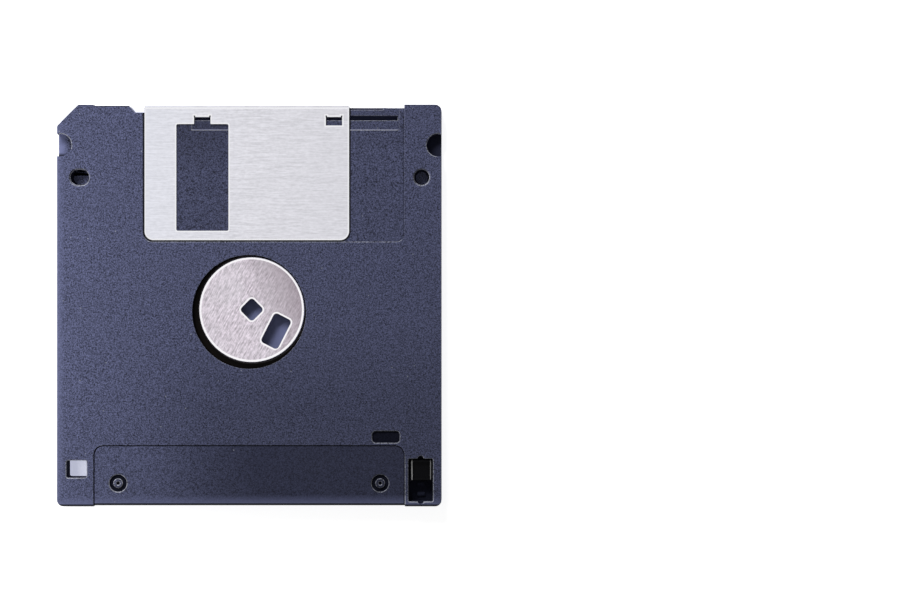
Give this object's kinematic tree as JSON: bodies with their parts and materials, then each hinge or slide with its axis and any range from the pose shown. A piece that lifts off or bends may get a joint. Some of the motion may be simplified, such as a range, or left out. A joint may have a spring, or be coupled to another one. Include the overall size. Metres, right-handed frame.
{
  "type": "floppy disk",
  "caption": "Flexible magnetic disk cartridge with a two-shell plastic case, sprung sliding metal shutter, turning hub and disc, and a write-protect slider.",
  "frame": {"origin": "centre of the case's 90 x 94 mm outline, on the surface that the label side lies on", "axes": "+Z out of the hub side, +Y towards the shutter end, +X towards the side the shutter opens to"},
  "size_m": [0.09, 0.094, 0.0033],
  "materials": {
    "case_plastic": "fine matt grain, dark slate blue-grey",
    "shutter_metal": "brushed along its length",
    "spring_wire": "drawn wire",
    "hub_steel": "rolled sheet with faint streaks and bright pressed edges",
    "bond_film": "thin adhesive film",
    "medium_coating": "burnished dark brown coating",
    "liner_cloth": "white non-woven cloth",
    "leaf_film": "smooth film",
    "slider_plastic": "satin black"
  },
  "bodies": {
    "case": {"lower_shell": "case_plastic", "upper_shell": "case_plastic", "lower_liner": "liner_cloth", "upper_liner": "liner_cloth", "lifter_leaf": "leaf_film", "shutter_spring": "spring_wire"},
    "shutter": {"shutter": "shutter_metal"},
    "disc": {"hub": "hub_steel", "bonding_ring": "bond_film", "magnetic_disc": "medium_coating"},
    "write_protect": {"write_protect_tab": "slider_plastic"}
  },
  "joints": [
    {"name": "shutter_slide", "type": "slide", "parent": "case", "child": "shutter", "axis": [1, 0, 0], "range_m": [0, 0.0125], "stiffness_N_per_m": 40, "springref_m": -0.006, "deforming": ["shutter_spring"]},
    {"name": "disc_spin", "type": "hinge", "parent": "case", "child": "disc", "pos_m": [0.00058, -0.00096, 0.002], "axis": [0, 0, 1], "continuous": true},
    {"name": "write_protect_slide", "type": "slide", "parent": "case", "child": "write_protect", "axis": [0, -1, 0], "range_m": [0, 0.0047]}
  ]
}
